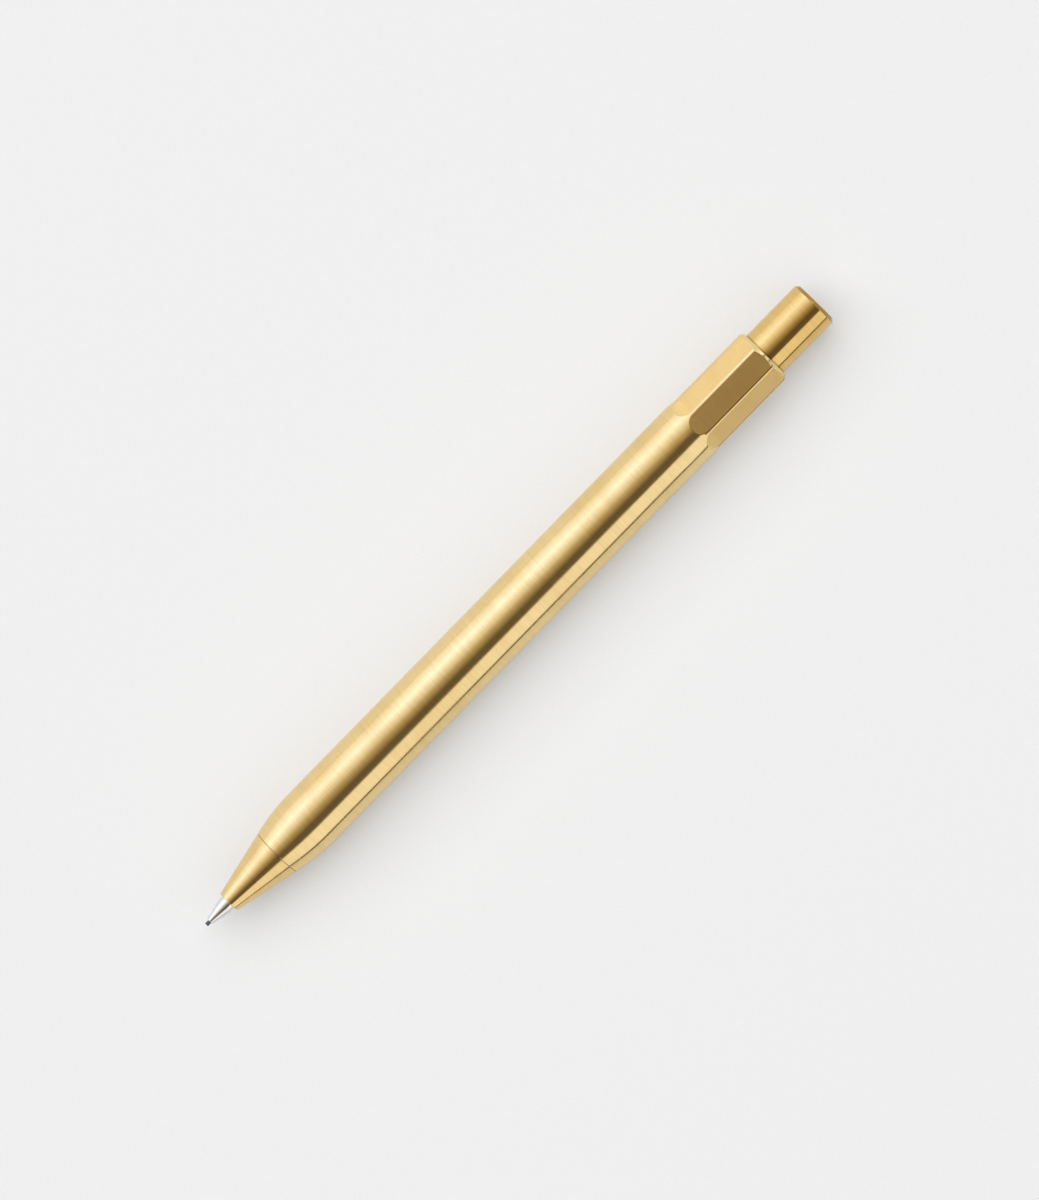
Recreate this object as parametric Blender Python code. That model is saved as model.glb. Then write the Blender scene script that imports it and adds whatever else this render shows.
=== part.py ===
"""Push-button lead holder: a brass barrel with eight milled flats, around a spring-loaded chuck mechanism.

Every piece is turned about one axis, the pencil's own. Its places are stations: distances in millimetres
along that axis from the point of the lead, which is the front, towards the push button. The pencil lies on
its side with that axis along X. The origin is on the resting surface, under the middle of its length.
"""

import math

import bmesh
import bpy
from mathutils import Vector

MM = 0.001

# Driving dimensions, in millimetres
LENGTH = 141.4
BARREL_RADIUS = 5.4
FLATS_ACROSS = 10.1
FLAT_COUNT = 8
TAPER_ANGLE = math.radians(12.4)
LEAD_RADIUS = 0.35
PRESS_TRAVEL = 4.0
THREAD_PITCH = 0.75

# Stations
TIP_FRONT = 0.8
TIP_CONE_END = 4.15
NOSE_FRONT = 5.2
PARTING = 16.5
TAPER_END = 17.3
THREAD_START = 18.3
SPIGOT_END = 22.0
THREAD_END = 22.9
CLAMP_SHOULDER = 23.6
MAGAZINE_FRONT = 31.55
BUSH_SHOULDER = 113.0
FERRULE_FRONT = 119.0
BUTTON_FRONT = 119.5
SCOOP_FRONT = 112.6
FLAT_FRONT = 114.6
BARREL_END = 129.6

# Radii
NOSE_FRONT_RADIUS = 1.95
TIP_RADIUS = 1.425
MAIN_BORE_RADIUS = 2.6
BUTTON_BORE_RADIUS = 4.32
BUTTON_RADIUS = 4.25
CASING_RADIUS = 2.2
CASING_BORE_RADIUS = 1.6
TUBE_RADIUS = 1.5
TUBE_BORE_RADIUS = 1.25
THREAD_ROOT_RADIUS = 3.0
THREAD_DEPTH = 0.4

# Fits: the gap on the radius, or between two faces that meet
FACE_GAP = 0.05
RUNNING_GAP = 0.05
THREAD_GAP = 0.12

# Facets around a turned surface
BARREL_FACETS = 32
FINE_FACETS = 24
LEAD_FACETS = 12
# A facet, and not an edge, is lowest, so the barrel's axis is this high above the surface it lies on.
AXIS_HEIGHT = BARREL_RADIUS * math.cos(math.pi / BARREL_FACETS)

bodies = {}
materials = {}


def clear_scene():
    for obj in list(bpy.data.objects):
        bpy.data.objects.remove(obj)


def material(name, colour, roughness, metallic):
    """A Principled material, made once and kept under its name."""
    made = bpy.data.materials.new(name)
    made.use_nodes = True
    shader = made.node_tree.nodes["Principled BSDF"]
    shader.inputs["Base Color"].default_value = (*colour, 1.0)
    shader.inputs["Roughness"].default_value = roughness
    shader.inputs["Metallic"].default_value = metallic
    materials[name] = made


def make_materials():
    material("satin_brass", (0.84, 0.60, 0.25), 0.28, 1.0)
    material("inner_brass", (0.72, 0.52, 0.24), 0.35, 1.0)
    material("polished_steel", (0.78, 0.78, 0.80), 0.12, 1.0)
    material("spring_steel", (0.60, 0.61, 0.63), 0.25, 1.0)
    material("black_rubber", (0.03, 0.03, 0.03), 0.80, 0.0)
    material("black_acetal", (0.04, 0.04, 0.045), 0.45, 0.0)
    material("clear_tube", (0.80, 0.82, 0.82), 0.30, 0.0)
    material("white_eraser", (0.88, 0.87, 0.84), 0.90, 0.0)
    material("graphite", (0.07, 0.07, 0.075), 0.50, 0.2)


def body(name):
    """The empty that a rigid body's pieces hang on, on the common axis at the point of the lead."""
    empty = bpy.data.objects.new("body_" + name, None)
    empty.location = (-LENGTH / 2 * MM, 0, AXIS_HEIGHT * MM)
    bpy.context.scene.collection.objects.link(empty)
    bodies[name] = empty


def make_bodies():
    for name in ("barrel", "nose_seal", "nose", "plunger", "clutch_ring", "button", "lead"):
        body(name)


def add(name, data, station, body_name, material_name, side=0.0, up=0.0):
    """Links a mesh or curve as a piece, with its origin at a station, on the axis or beside it."""
    obj = bpy.data.objects.new(name, data)
    data.materials.append(materials[material_name])
    obj.parent = bodies[body_name]
    obj.location = (station * MM, side * MM, up * MM)
    bpy.context.scene.collection.objects.link(obj)
    return obj


def turned_mesh(name, outline, origin, facets):
    """An outline of (station, radius) spun about the axis. It is a closed loop, or it ends on the axis."""
    bm = bmesh.new()
    first = math.pi / facets
    spoke = Vector((0, math.cos(first), math.sin(first)))
    points = [bm.verts.new(Vector(((s - origin) * MM, 0, 0)) + spoke * r * MM) for s, r in outline]
    ends_on_axis = outline[0][1] == 0
    pairs = list(zip(points, points[1:])) + ([] if ends_on_axis else [(points[-1], points[0])])
    edges = [bm.edges.new(pair) for pair in pairs]
    bmesh.ops.spin(
        bm, geom=points + edges, cent=(0, 0, 0), axis=(1, 0, 0), angle=2 * math.pi,
        steps=facets, use_merge=True,
    )
    bmesh.ops.remove_doubles(bm, verts=bm.verts, dist=1e-7)
    bmesh.ops.recalc_face_normals(bm, faces=bm.faces)
    mesh = bpy.data.meshes.new(name)
    bm.to_mesh(mesh)
    bm.free()
    return mesh


def shade(mesh):
    mesh.shade_smooth()
    mesh.set_sharp_from_angle(angle=math.radians(30))


def turned(name, outline, body_name, material_name, facets=FINE_FACETS, **place):
    """A turned piece, with its origin on the axis at the outline's first station."""
    origin = outline[0][0]
    mesh = turned_mesh(name, outline, origin, facets)
    shade(mesh)
    return add(name, mesh, origin, body_name, material_name, **place)


def stations(start, end, count):
    return [start + (end - start) * i / count for i in range(count + 1)]


def taper_radius(station):
    """The straight taper that the nose cone and the front of the barrel share."""
    return NOSE_FRONT_RADIUS + (station - NOSE_FRONT) * math.tan(TAPER_ANGLE)


def taper_blend(count=6):
    """The arc, tangent to both, that carries the taper into the barrel's full radius."""
    start = taper_radius(TAPER_END)
    arc_radius = (BARREL_RADIUS - start) / (1 - math.cos(TAPER_ANGLE))
    length = arc_radius * math.sin(TAPER_ANGLE)
    angles = [TAPER_ANGLE * (1 - i / count) for i in range(count + 1)]
    return [
        (
            TAPER_END + length - arc_radius * math.sin(a),
            BARREL_RADIUS - arc_radius * (1 - math.cos(a)),
        )
        for a in angles
    ]


def thread_stations(start, end, samples=6):
    return stations(start, end, round((end - start) / THREAD_PITCH * samples))


def thread_height(station, angle, start, end):
    """The thread's depth here, which fades at its ends, and its wave from 0 to 1. It is right-handed about +X."""
    phase = 2 * math.pi * station / THREAD_PITCH - angle
    fade = min(1.0, (station - start) / THREAD_PITCH, (end - station) / THREAD_PITCH)
    return THREAD_DEPTH * max(0.0, fade), 0.5 + 0.5 * math.cos(phase)


def cut_thread(obj, start, end, radius, inside):
    """Moves the rings of points at this radius, between two stations, onto a helical thread."""
    for vertex in obj.data.vertices:
        x, y, z = vertex.co / MM
        station = x + obj.location.x / MM
        if abs(math.hypot(y, z) - radius) > 1e-3 or not start < station < end:
            continue
        depth, wave = thread_height(station, math.atan2(z, y), start, end)
        moved = radius + (depth * (wave - 1) if inside else depth * wave)
        vertex.co.y *= moved / radius
        vertex.co.z *= moved / radius
    obj.data.update()


# ---------------------------------------------------------------- barrel

def barrel():
    seat = THREAD_ROOT_RADIUS + THREAD_DEPTH + THREAD_GAP
    front = PARTING + FACE_GAP
    corner_axial, corner_radial = 0.8, 0.75
    outer = [(front, taper_radius(front)), *taper_blend()]
    rear = [
        (BARREL_END - corner_axial, BARREL_RADIUS),
        (BARREL_END, BARREL_RADIUS - corner_radial),
        (BARREL_END, BUTTON_BORE_RADIUS + 0.08),
        (BARREL_END - 0.08, BUTTON_BORE_RADIUS),
        (BUSH_SHOULDER, BUTTON_BORE_RADIUS),
        (BUSH_SHOULDER, MAIN_BORE_RADIUS),
        (CLAMP_SHOULDER, MAIN_BORE_RADIUS),
    ]
    threaded = [(s, seat) for s in reversed(thread_stations(THREAD_START, THREAD_END))]
    outline = [*outer, *rear, (CLAMP_SHOULDER, seat), *threaded, (front, seat)]
    obj = turned("barrel", outline, "barrel", "satin_brass", BARREL_FACETS)
    cut_thread(obj, THREAD_START, THREAD_END, seat, inside=True)
    cut_flats(obj)


def cut_flats(obj):
    """Eight flats milled from the rear, each running out to the front in a round scoop."""
    for i in range(FLAT_COUNT):
        cutter = flat_cutter(i)
        cut = obj.modifiers.new(f"flat_{i + 1}", "BOOLEAN")
        cut.object = cutter
        cut.operation = "DIFFERENCE"
        cut.solver = "EXACT"


def flat_cutter(index, count=5):
    """The space that the milling cutter sweeps for one flat, with its scoop's arc tangent to the flat."""
    flat = FLATS_ACROSS / 2
    depth = BARREL_RADIUS - flat
    run = FLAT_FRONT - SCOOP_FRONT
    scoop_radius = (run**2 + depth**2) / (2 * depth)
    top = BARREL_RADIUS + 0.4
    full_turn = math.acos(1 - (top - flat) / scoop_radius)
    arc = [
        (
            FLAT_FRONT - scoop_radius * math.sin(full_turn * i / count),
            flat + scoop_radius * (1 - math.cos(full_turn * i / count)),
        )
        for i in range(count + 1)
    ]
    side_view = [*arc, (BARREL_END + 1, top), (BARREL_END + 1, flat)]
    half_width = 2.3
    bm = bmesh.new()
    points = [bm.verts.new((x * MM, -half_width * MM, z * MM)) for x, z in side_view]
    face = bm.faces.new(points)
    swept = bmesh.ops.extrude_face_region(bm, geom=[face])
    moved = [v for v in swept["geom"] if isinstance(v, bmesh.types.BMVert)]
    bmesh.ops.translate(bm, verts=moved, vec=(0, 2 * half_width * MM, 0))
    bmesh.ops.recalc_face_normals(bm, faces=bm.faces)
    name = f"flat_cutter_{index + 1}"
    mesh = bpy.data.meshes.new(name)
    bm.to_mesh(mesh)
    bm.free()
    cutter = bpy.data.objects.new(name, mesh)
    cutter.parent = bodies["barrel"]
    cutter.rotation_euler.x = 2 * math.pi * index / FLAT_COUNT
    cutter.hide_render = True
    cutter.display_type = "WIRE"
    bpy.context.scene.collection.objects.link(cutter)
    return cutter


def tube_guide_bush():
    """A flanged acetal bush pressed into the bottom of the button's bore, where the lead tube slides."""
    flange_end = BUSH_SHOULDER + 1.0
    sleeve, bore = MAIN_BORE_RADIUS - RUNNING_GAP, TUBE_RADIUS + RUNNING_GAP
    flange = BUTTON_BORE_RADIUS - 0.07
    outline = [
        (BUSH_SHOULDER - 7, sleeve - 0.15),
        (BUSH_SHOULDER - 6.8, sleeve),
        (BUSH_SHOULDER + FACE_GAP, sleeve),
        (BUSH_SHOULDER + FACE_GAP, flange),
        (flange_end, flange),
        (flange_end, bore + 0.3),
        (flange_end - 0.3, bore),
        (BUSH_SHOULDER - 7, bore),
    ]
    turned("tube_guide_bush", outline, "barrel", "black_acetal", BARREL_FACETS)


# ---------------------------------------------------------------- nose

GROOVE_RADIUS = 2.7
GROOVE_END = 18.1
SEAL_STATION = 17.4
NOSE_STEP = 8.05
NOSE_BORE_RADIUS = CASING_RADIUS + 0.1


def nose_cone():
    """The cone that unscrews, with the threaded spigot that clamps the mechanism inside the barrel."""
    tip_bore = TIP_RADIUS + RUNNING_GAP
    rim = 0.15
    threaded = thread_stations(GROOVE_END + 0.1, SPIGOT_END)
    outline = [
        (NOSE_FRONT, tip_bore),
        (NOSE_FRONT, NOSE_FRONT_RADIUS - rim),
        (NOSE_FRONT + rim, taper_radius(NOSE_FRONT + rim)),
        (PARTING, taper_radius(PARTING)),
        (PARTING, GROOVE_RADIUS),
        (GROOVE_END, GROOVE_RADIUS),
        *((s, THREAD_ROOT_RADIUS) for s in threaded),
        (SPIGOT_END, NOSE_BORE_RADIUS),
        (9.7, NOSE_BORE_RADIUS),
        (9.35, 1.95),
        (NOSE_STEP, 1.95),
        (NOSE_STEP, tip_bore),
    ]
    obj = turned("nose_cone", outline, "nose", "satin_brass", BARREL_FACETS)
    cut_thread(obj, threaded[0], SPIGOT_END, THREAD_ROOT_RADIUS, inside=False)


def nose_o_ring():
    """The rubber ring in the spigot's groove that keeps the nose cone from working loose."""
    cord_radius, ring_radius, sides = 0.36, 3.12, 8
    outline = [
        (
            SEAL_STATION + cord_radius * math.cos(2 * math.pi * i / sides),
            ring_radius + cord_radius * math.sin(2 * math.pi * i / sides),
        )
        for i in range(sides)
    ]
    turned("nose_o_ring", outline, "nose_seal", "black_rubber", FINE_FACETS)


# ---------------------------------------------------------------- mechanism, fixed in the barrel

CASING_FRONT = 9.85
CASING_END = 38.0
RING_SHOULDER = 17.6
SPRING_SEAT = 18.4
RETAINER_FRONT = 5.6
RETAINER_END = 7.4
TIP_SHANK_END = 14.5


def guide_tip():
    """The steel point that guides the lead, with its collar and the shank that the casing holds."""
    lead_bore, chuck_bore = 0.42, 1.3
    outline = [
        (TIP_FRONT, lead_bore + 0.05),
        (TIP_FRONT, 0.58),
        (TIP_FRONT + 0.05, 0.63),
        (TIP_CONE_END, TIP_RADIUS),
        (8.25, TIP_RADIUS),
        (8.25, 1.88),
        (CASING_FRONT - FACE_GAP, 1.88),
        (CASING_FRONT - FACE_GAP, CASING_BORE_RADIUS - RUNNING_GAP),
        (TIP_SHANK_END, CASING_BORE_RADIUS - RUNNING_GAP),
        (TIP_SHANK_END, chuck_bore),
        (RETAINER_END + 0.3, chuck_bore),
        (RETAINER_END, 0.98),
        (RETAINER_FRONT, 0.98),
        (RETAINER_FRONT, lead_bore + 0.1),
        (RETAINER_FRONT - 0.3, lead_bore),
        (TIP_FRONT + 0.1, lead_bore),
    ]
    turned("guide_tip", outline, "barrel", "polished_steel")


def lead_retainer():
    """The rubber grommet in the guide tip that keeps the lead from dropping while the chuck is open."""
    outside, grip = 0.93, LEAD_RADIUS + 0.02
    outline = [
        (RETAINER_FRONT + FACE_GAP, grip),
        (RETAINER_FRONT + FACE_GAP, outside),
        (RETAINER_END - 0.1, outside),
        (RETAINER_END, outside - 0.1),
        (RETAINER_END, 0.6),
        (RETAINER_END - 0.5, grip),
    ]
    turned("lead_retainer", outline, "barrel", "black_rubber", LEAD_FACETS)


def clutch_casing():
    """The mechanism's brass casing. Its flange is clamped between the spigot and the barrel's shoulder."""
    flange = THREAD_ROOT_RADIUS - 0.02
    shank_hole = 0.97
    outline = [
        (CASING_FRONT, CASING_BORE_RADIUS),
        (CASING_FRONT, CASING_RADIUS - 0.1),
        (CASING_FRONT + 0.1, CASING_RADIUS),
        (SPIGOT_END + FACE_GAP, CASING_RADIUS),
        (SPIGOT_END + FACE_GAP, flange),
        (CLAMP_SHOULDER - FACE_GAP, flange),
        (CLAMP_SHOULDER - FACE_GAP, CASING_RADIUS),
        (CASING_END - 0.1, CASING_RADIUS),
        (CASING_END, CASING_RADIUS - 0.1),
        (CASING_END, CASING_BORE_RADIUS),
        (SPRING_SEAT, CASING_BORE_RADIUS),
        (SPRING_SEAT, shank_hole),
        (RING_SHOULDER, shank_hole),
        (RING_SHOULDER, CASING_BORE_RADIUS),
    ]
    turned("clutch_casing", outline, "barrel", "inner_brass")


def return_spring():
    """A compression spring between the casing's shoulder and the chuck carrier, with close end turns."""
    wire, mean_radius = 0.15, 1.27
    steps, end_turns, turns = 12, 1.25, 10.0
    clear = wire + FACE_GAP
    start, end = SPRING_SEAT + clear, CARRIER_FRONT - clear
    end_pitch = 2 * wire + 0.08
    open_pitch = (end - start - 2 * end_turns * end_pitch) / (turns - 2 * end_turns)

    def along(turn):
        front = min(turn, end_turns)
        rear = max(0.0, turn - (turns - end_turns))
        return (front + rear) * end_pitch + (turn - front - rear) * open_pitch

    curve = bpy.data.curves.new("return_spring", "CURVE")
    curve.dimensions = "3D"
    curve.bevel_depth = wire * MM
    curve.bevel_resolution = 1
    curve.use_fill_caps = True
    count = round(turns * steps) + 1
    spline = curve.splines.new("POLY")
    spline.points.add(count - 1)
    for i, point in enumerate(spline.points):
        turn = i / steps
        angle = 2 * math.pi * turn
        y, z = mean_radius * math.cos(angle), mean_radius * math.sin(angle)
        point.co = (along(turn) * MM, y * MM, z * MM, 1)
    add("return_spring", curve, start, "barrel", "spring_steel")


# ---------------------------------------------------------------- mechanism, moved by the button

CHUCK_FRONT = 13.6
CHUCK_END = 33.0
CHUCK_HEAD_RADIUS = 1.15
CHUCK_SHANK_RADIUS = 0.85
HEAD_CONE_START = 15.0
HEAD_CONE_END = 17.4
CARRIER_FRONT = 29.5
CARRIER_FLANGE_END = 31.5
CARRIER_END = 36.5


def chuck():
    """The brass collet: three jaws on one tube, closed on the lead where the clutch ring surrounds its cone."""
    grip, bore = LEAD_RADIUS + 0.03, 0.5
    outline = [
        (CHUCK_FRONT, bore + 0.1),
        (CHUCK_FRONT, CHUCK_HEAD_RADIUS - 0.15),
        (CHUCK_FRONT + 0.15, CHUCK_HEAD_RADIUS),
        (HEAD_CONE_START, CHUCK_HEAD_RADIUS),
        (HEAD_CONE_END, CHUCK_SHANK_RADIUS),
        (CHUCK_END, CHUCK_SHANK_RADIUS),
        (CHUCK_END, bore),
        (HEAD_CONE_END + 0.2, bore),
        (HEAD_CONE_END, grip),
        (CHUCK_FRONT + 0.3, grip),
    ]
    obj = turned("chuck", outline, "plunger", "inner_brass")
    slot_end, slot_width = 24.0, 0.28
    for i in range(3):
        cutter = slot_cutter(i, CHUCK_FRONT - 0.5, slot_end, slot_width)
        cut = obj.modifiers.new(f"slot_{i + 1}", "BOOLEAN")
        cut.object = cutter
        cut.operation = "DIFFERENCE"
        cut.solver = "EXACT"


def slot_cutter(index, start, end, width):
    """A slab from the axis outwards, one for each gap between two jaws."""
    height = CHUCK_HEAD_RADIUS + 0.3
    inner = 0.1
    bm = bmesh.new()
    bmesh.ops.create_cube(bm, size=1)
    size = Vector((end - start, width, height - inner)) * MM
    centre = Vector(((start + end) / 2, 0, (height + inner) / 2)) * MM
    bmesh.ops.scale(bm, verts=bm.verts, vec=size)
    bmesh.ops.translate(bm, verts=bm.verts, vec=centre)
    name = f"slot_cutter_{index + 1}"
    mesh = bpy.data.meshes.new(name)
    bm.to_mesh(mesh)
    bm.free()
    cutter = bpy.data.objects.new(name, mesh)
    cutter.parent = bodies["plunger"]
    cutter.rotation_euler.x = 2 * math.pi * index / 3
    cutter.hide_render = True
    cutter.display_type = "WIRE"
    bpy.context.scene.collection.objects.link(cutter)
    return cutter


def clutch_ring():
    """The hardened ring whose tapered bore closes the jaws, resting against the casing's shoulder."""
    outside = 1.5
    front, end = RING_SHOULDER - FACE_GAP - 2.0, RING_SHOULDER - FACE_GAP
    slope = (CHUCK_HEAD_RADIUS - CHUCK_SHANK_RADIUS) / (HEAD_CONE_END - HEAD_CONE_START)
    front_bore = CHUCK_HEAD_RADIUS - (front - HEAD_CONE_START) * slope + 0.04
    end_bore = CHUCK_SHANK_RADIUS + 0.05
    outline = [
        (front, front_bore),
        (front, outside - 0.1),
        (front + 0.1, outside),
        (end - 0.1, outside),
        (end, outside - 0.1),
        (end, end_bore),
    ]
    turned("clutch_ring", outline, "clutch_ring", "spring_steel")


def chuck_carrier():
    """The collar that joins the chuck to the lead tube, and that the return spring pushes on."""
    socket, feed = CHUCK_SHANK_RADIUS + RUNNING_GAP, 0.5
    spigot = TUBE_BORE_RADIUS - RUNNING_GAP
    outline = [
        (CARRIER_FRONT, socket),
        (CARRIER_FRONT, TUBE_RADIUS),
        (CARRIER_FLANGE_END, TUBE_RADIUS),
        (CARRIER_FLANGE_END, spigot),
        (CARRIER_END, spigot),
        (CARRIER_END, 1.0),
        (CARRIER_END - 0.8, feed),
        (CHUCK_END + FACE_GAP, feed),
        (CHUCK_END + FACE_GAP, socket),
    ]
    turned("chuck_carrier", outline, "plunger", "inner_brass")


TUBE_END = 123.9


def lead_tube():
    """The magazine: a thin tube from the chuck carrier to the eraser's ferrule, holding the spare leads."""
    outline = [
        (MAGAZINE_FRONT, TUBE_BORE_RADIUS),
        (MAGAZINE_FRONT, TUBE_RADIUS),
        (TUBE_END, TUBE_RADIUS),
        (TUBE_END, TUBE_BORE_RADIUS),
    ]
    turned("lead_tube", outline, "plunger", "clear_tube")


FERRULE_RADIUS = 1.9
FERRULE_END = 131.0
COLLAR_START = 121.0
COLLAR_END = 122.0
ERASER_SEAT = 124.8
ERASER_END = 134.5


def eraser_ferrule():
    """The cap on the lead tube's end. Its collar takes the push, and its cup holds the eraser."""
    socket, cup = TUBE_RADIUS + RUNNING_GAP, FERRULE_RADIUS - 0.25
    collar = 2.3
    outline = [
        (FERRULE_FRONT, socket),
        (FERRULE_FRONT, FERRULE_RADIUS),
        (COLLAR_START, FERRULE_RADIUS),
        (COLLAR_START, collar),
        (COLLAR_END, collar),
        (COLLAR_END, FERRULE_RADIUS),
        (FERRULE_END, FERRULE_RADIUS),
        (FERRULE_END, cup),
        (ERASER_SEAT, cup),
        (ERASER_SEAT, 0.3),
        (TUBE_END + FACE_GAP, 0.3),
        (TUBE_END + FACE_GAP, socket),
    ]
    turned("eraser_ferrule", outline, "plunger", "inner_brass")


def eraser():
    radius, round_off = 1.58, 0.45
    corner = [
        (
            ERASER_END - round_off * (1 - math.sin(a)),
            radius - round_off * (1 - math.cos(a)),
        )
        for a in (math.radians(step * 30) for step in range(4))
    ]
    outline = [(ERASER_SEAT + FACE_GAP, 0), (ERASER_SEAT + FACE_GAP, radius), *corner, (ERASER_END, 0)]
    turned("eraser", outline, "plunger", "white_eraser")


# ---------------------------------------------------------------- button

BUTTON_CAVITY_RADIUS = 2.6
SLEEVE_FRONT = COLLAR_END + FACE_GAP
SLEEVE_END = 130.0


def push_button():
    """The brass button: a cup that slides in the barrel's rear bore, closed at the end that is pressed."""
    chamfer, cavity_end = 0.57, 139.4
    outline = [
        (BUTTON_FRONT, BUTTON_CAVITY_RADIUS + 0.3),
        (BUTTON_FRONT, BUTTON_RADIUS - 0.2),
        (BUTTON_FRONT + 0.2, BUTTON_RADIUS),
        (LENGTH - chamfer, BUTTON_RADIUS),
        (LENGTH, BUTTON_RADIUS - chamfer),
        (LENGTH, 0),
    ]
    cavity = [
        (cavity_end + 0.6, 0),
        (cavity_end, BUTTON_CAVITY_RADIUS),
        (BUTTON_FRONT + 0.3, BUTTON_CAVITY_RADIUS),
    ]
    outline = [*reversed(outline), *reversed(cavity)]
    turned("push_button", outline, "button", "satin_brass", BARREL_FACETS)


def button_grip_sleeve():
    """The acetal sleeve in the button that grips the ferrule, so the button stays on and pulls off."""
    outside, grip = BUTTON_CAVITY_RADIUS - RUNNING_GAP, FERRULE_RADIUS + RUNNING_GAP
    outline = [
        (SLEEVE_FRONT, grip),
        (SLEEVE_FRONT, outside),
        (SLEEVE_END, outside),
        (SLEEVE_END, grip),
    ]
    turned("button_grip_sleeve", outline, "button", "black_acetal", FINE_FACETS)


# ---------------------------------------------------------------- leads

LEAD_LENGTH = 60.0
SPARE_START = 62.0


def lead_outline(start):
    return [(start, 0), (start, LEAD_RADIUS), (start + LEAD_LENGTH, LEAD_RADIUS), (start + LEAD_LENGTH, 0)]


def leads():
    """The lead in use, and three spare ones lying on the floor of the lead tube."""
    turned("lead", lead_outline(0.0), "lead", "graphite", LEAD_FACETS)
    lie_radius, spread = 0.85, math.radians(51)
    for i, turn in enumerate((-spread, 0.0, spread)):
        side, down = lie_radius * math.sin(turn), lie_radius * math.cos(turn)
        outline = lead_outline(SPARE_START)
        name = f"spare_lead_{i + 1}"
        turned(name, outline, "plunger", "graphite", LEAD_FACETS, side=side, up=-down)


def main():
    clear_scene()
    make_materials()
    make_bodies()
    barrel()
    tube_guide_bush()
    nose_cone()
    nose_o_ring()
    guide_tip()
    lead_retainer()
    clutch_casing()
    return_spring()
    chuck()
    clutch_ring()
    chuck_carrier()
    lead_tube()
    eraser_ferrule()
    eraser()
    push_button()
    button_grip_sleeve()
    leads()


main()
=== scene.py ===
"""The looks of the push-button lead holder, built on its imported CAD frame.

Stations are millimetres along the pencil's axis from the point of the lead, and radii are millimetres from that axis,
as in the CAD. In the object's frame that axis lies along X, at the height AXIS above the ground.
"""

import math
import bmesh
import bpy
from mathutils import Matrix, Vector


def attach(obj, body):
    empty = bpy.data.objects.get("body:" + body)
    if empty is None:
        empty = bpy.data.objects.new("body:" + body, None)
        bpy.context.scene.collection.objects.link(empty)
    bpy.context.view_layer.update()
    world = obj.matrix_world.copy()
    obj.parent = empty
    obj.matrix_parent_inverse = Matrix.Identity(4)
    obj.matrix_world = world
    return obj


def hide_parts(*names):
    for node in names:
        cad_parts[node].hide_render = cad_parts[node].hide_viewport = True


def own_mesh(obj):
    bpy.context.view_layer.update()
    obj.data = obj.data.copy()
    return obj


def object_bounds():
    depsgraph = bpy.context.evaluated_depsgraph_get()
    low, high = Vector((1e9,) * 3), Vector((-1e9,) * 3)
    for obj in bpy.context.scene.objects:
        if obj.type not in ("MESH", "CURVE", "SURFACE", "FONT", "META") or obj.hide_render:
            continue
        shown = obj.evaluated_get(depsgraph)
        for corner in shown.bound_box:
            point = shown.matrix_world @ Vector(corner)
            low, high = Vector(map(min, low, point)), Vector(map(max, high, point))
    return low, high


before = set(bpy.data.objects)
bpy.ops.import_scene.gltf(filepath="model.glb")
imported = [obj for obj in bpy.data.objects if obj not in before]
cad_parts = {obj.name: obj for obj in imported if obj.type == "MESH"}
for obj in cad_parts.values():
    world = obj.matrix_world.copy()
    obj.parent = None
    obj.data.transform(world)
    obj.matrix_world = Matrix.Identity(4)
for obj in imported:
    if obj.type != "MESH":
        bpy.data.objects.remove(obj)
CAD_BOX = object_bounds()

MM = 0.001
LOW, HIGH = CAD_BOX
FRONT = LOW.x
AXIS = (LOW.z + HIGH.z) / 2
LENGTH = (HIGH.x - LOW.x) / MM

# Millimetres, the same as in the CAD
BARREL_RADIUS = 5.4
BARREL_FRONT, BARREL_END = 16.55, 129.6
BARREL_BORE, BUSH_SEAT, SHELL_BORE, THREAD_BORE = 4.32, 113.0, 2.6, 3.52
FLAT = 5.05
SCOOP_FRONT, FLAT_FRONT = 112.6, 114.6
TAPER = math.radians(12.4)
TAPER_END = 17.3
NOSE_FRONT, NOSE_END, NOSE_FRONT_RADIUS = 5.2, 16.5, 1.95
SPIGOT_ROOT = 3.0
SPRING_START, SPRING_END, PRESS = 18.6, 29.3, 4.0
PITCH, THREAD_DEPTH = 0.75, 0.4
BUTTON_RADIUS, BUTTON_CHAMFER = 4.25, 0.57

# Degrees from the middle of a flat to the middle of the round strip beside it, and to the next flat
STRIP_TURN, FLAT_TURN = 22.5, 45


def taper_radius(s):
    return NOSE_FRONT_RADIUS + (s - NOSE_FRONT) * math.tan(TAPER)


def station(x):
    """The station of a place along X in the frame."""
    return (x - FRONT) / MM


def local(s):
    """A station as millimetres along X in an object's own coordinates."""
    return s + FRONT / MM


# ---------------------------------------------------------------- outlines of (station, radius)

def fillet(outline, sizes, count=5):
    """The outline, an open line, with its numbered corners rounded to these radii."""
    out = []
    for i, point in enumerate(outline):
        size = sizes.get(i, 0)
        if not size:
            out.append(point)
            continue
        here = Vector(point)
        before, after = Vector(outline[i - 1]) - here, Vector(outline[i + 1]) - here
        half = before.angle(after) / 2
        reach = min(size / math.tan(half), before.length * 0.49, after.length * 0.49)
        radius = reach * math.tan(half)
        middle = here + (before.normalized() + after.normalized()).normalized() * (radius / math.sin(half))
        first = here + before.normalized() * reach - middle
        last = here + after.normalized() * reach - middle
        for k in range(count + 1):
            out.append(tuple(middle + first.slerp(last, k / count) * radius))
    return out


def steps(start, end, count):
    return [start + (end - start) * i / count for i in range(count + 1)]


# ---------------------------------------------------------------- meshes

def place(name, mesh, body, nodes):
    """Links a finished mesh as the piece that is shown for these CAD nodes."""
    obj = bpy.data.objects.new(name, mesh)
    bpy.context.scene.collection.objects.link(obj)
    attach(obj, body)
    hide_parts(*nodes)
    return obj


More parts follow.
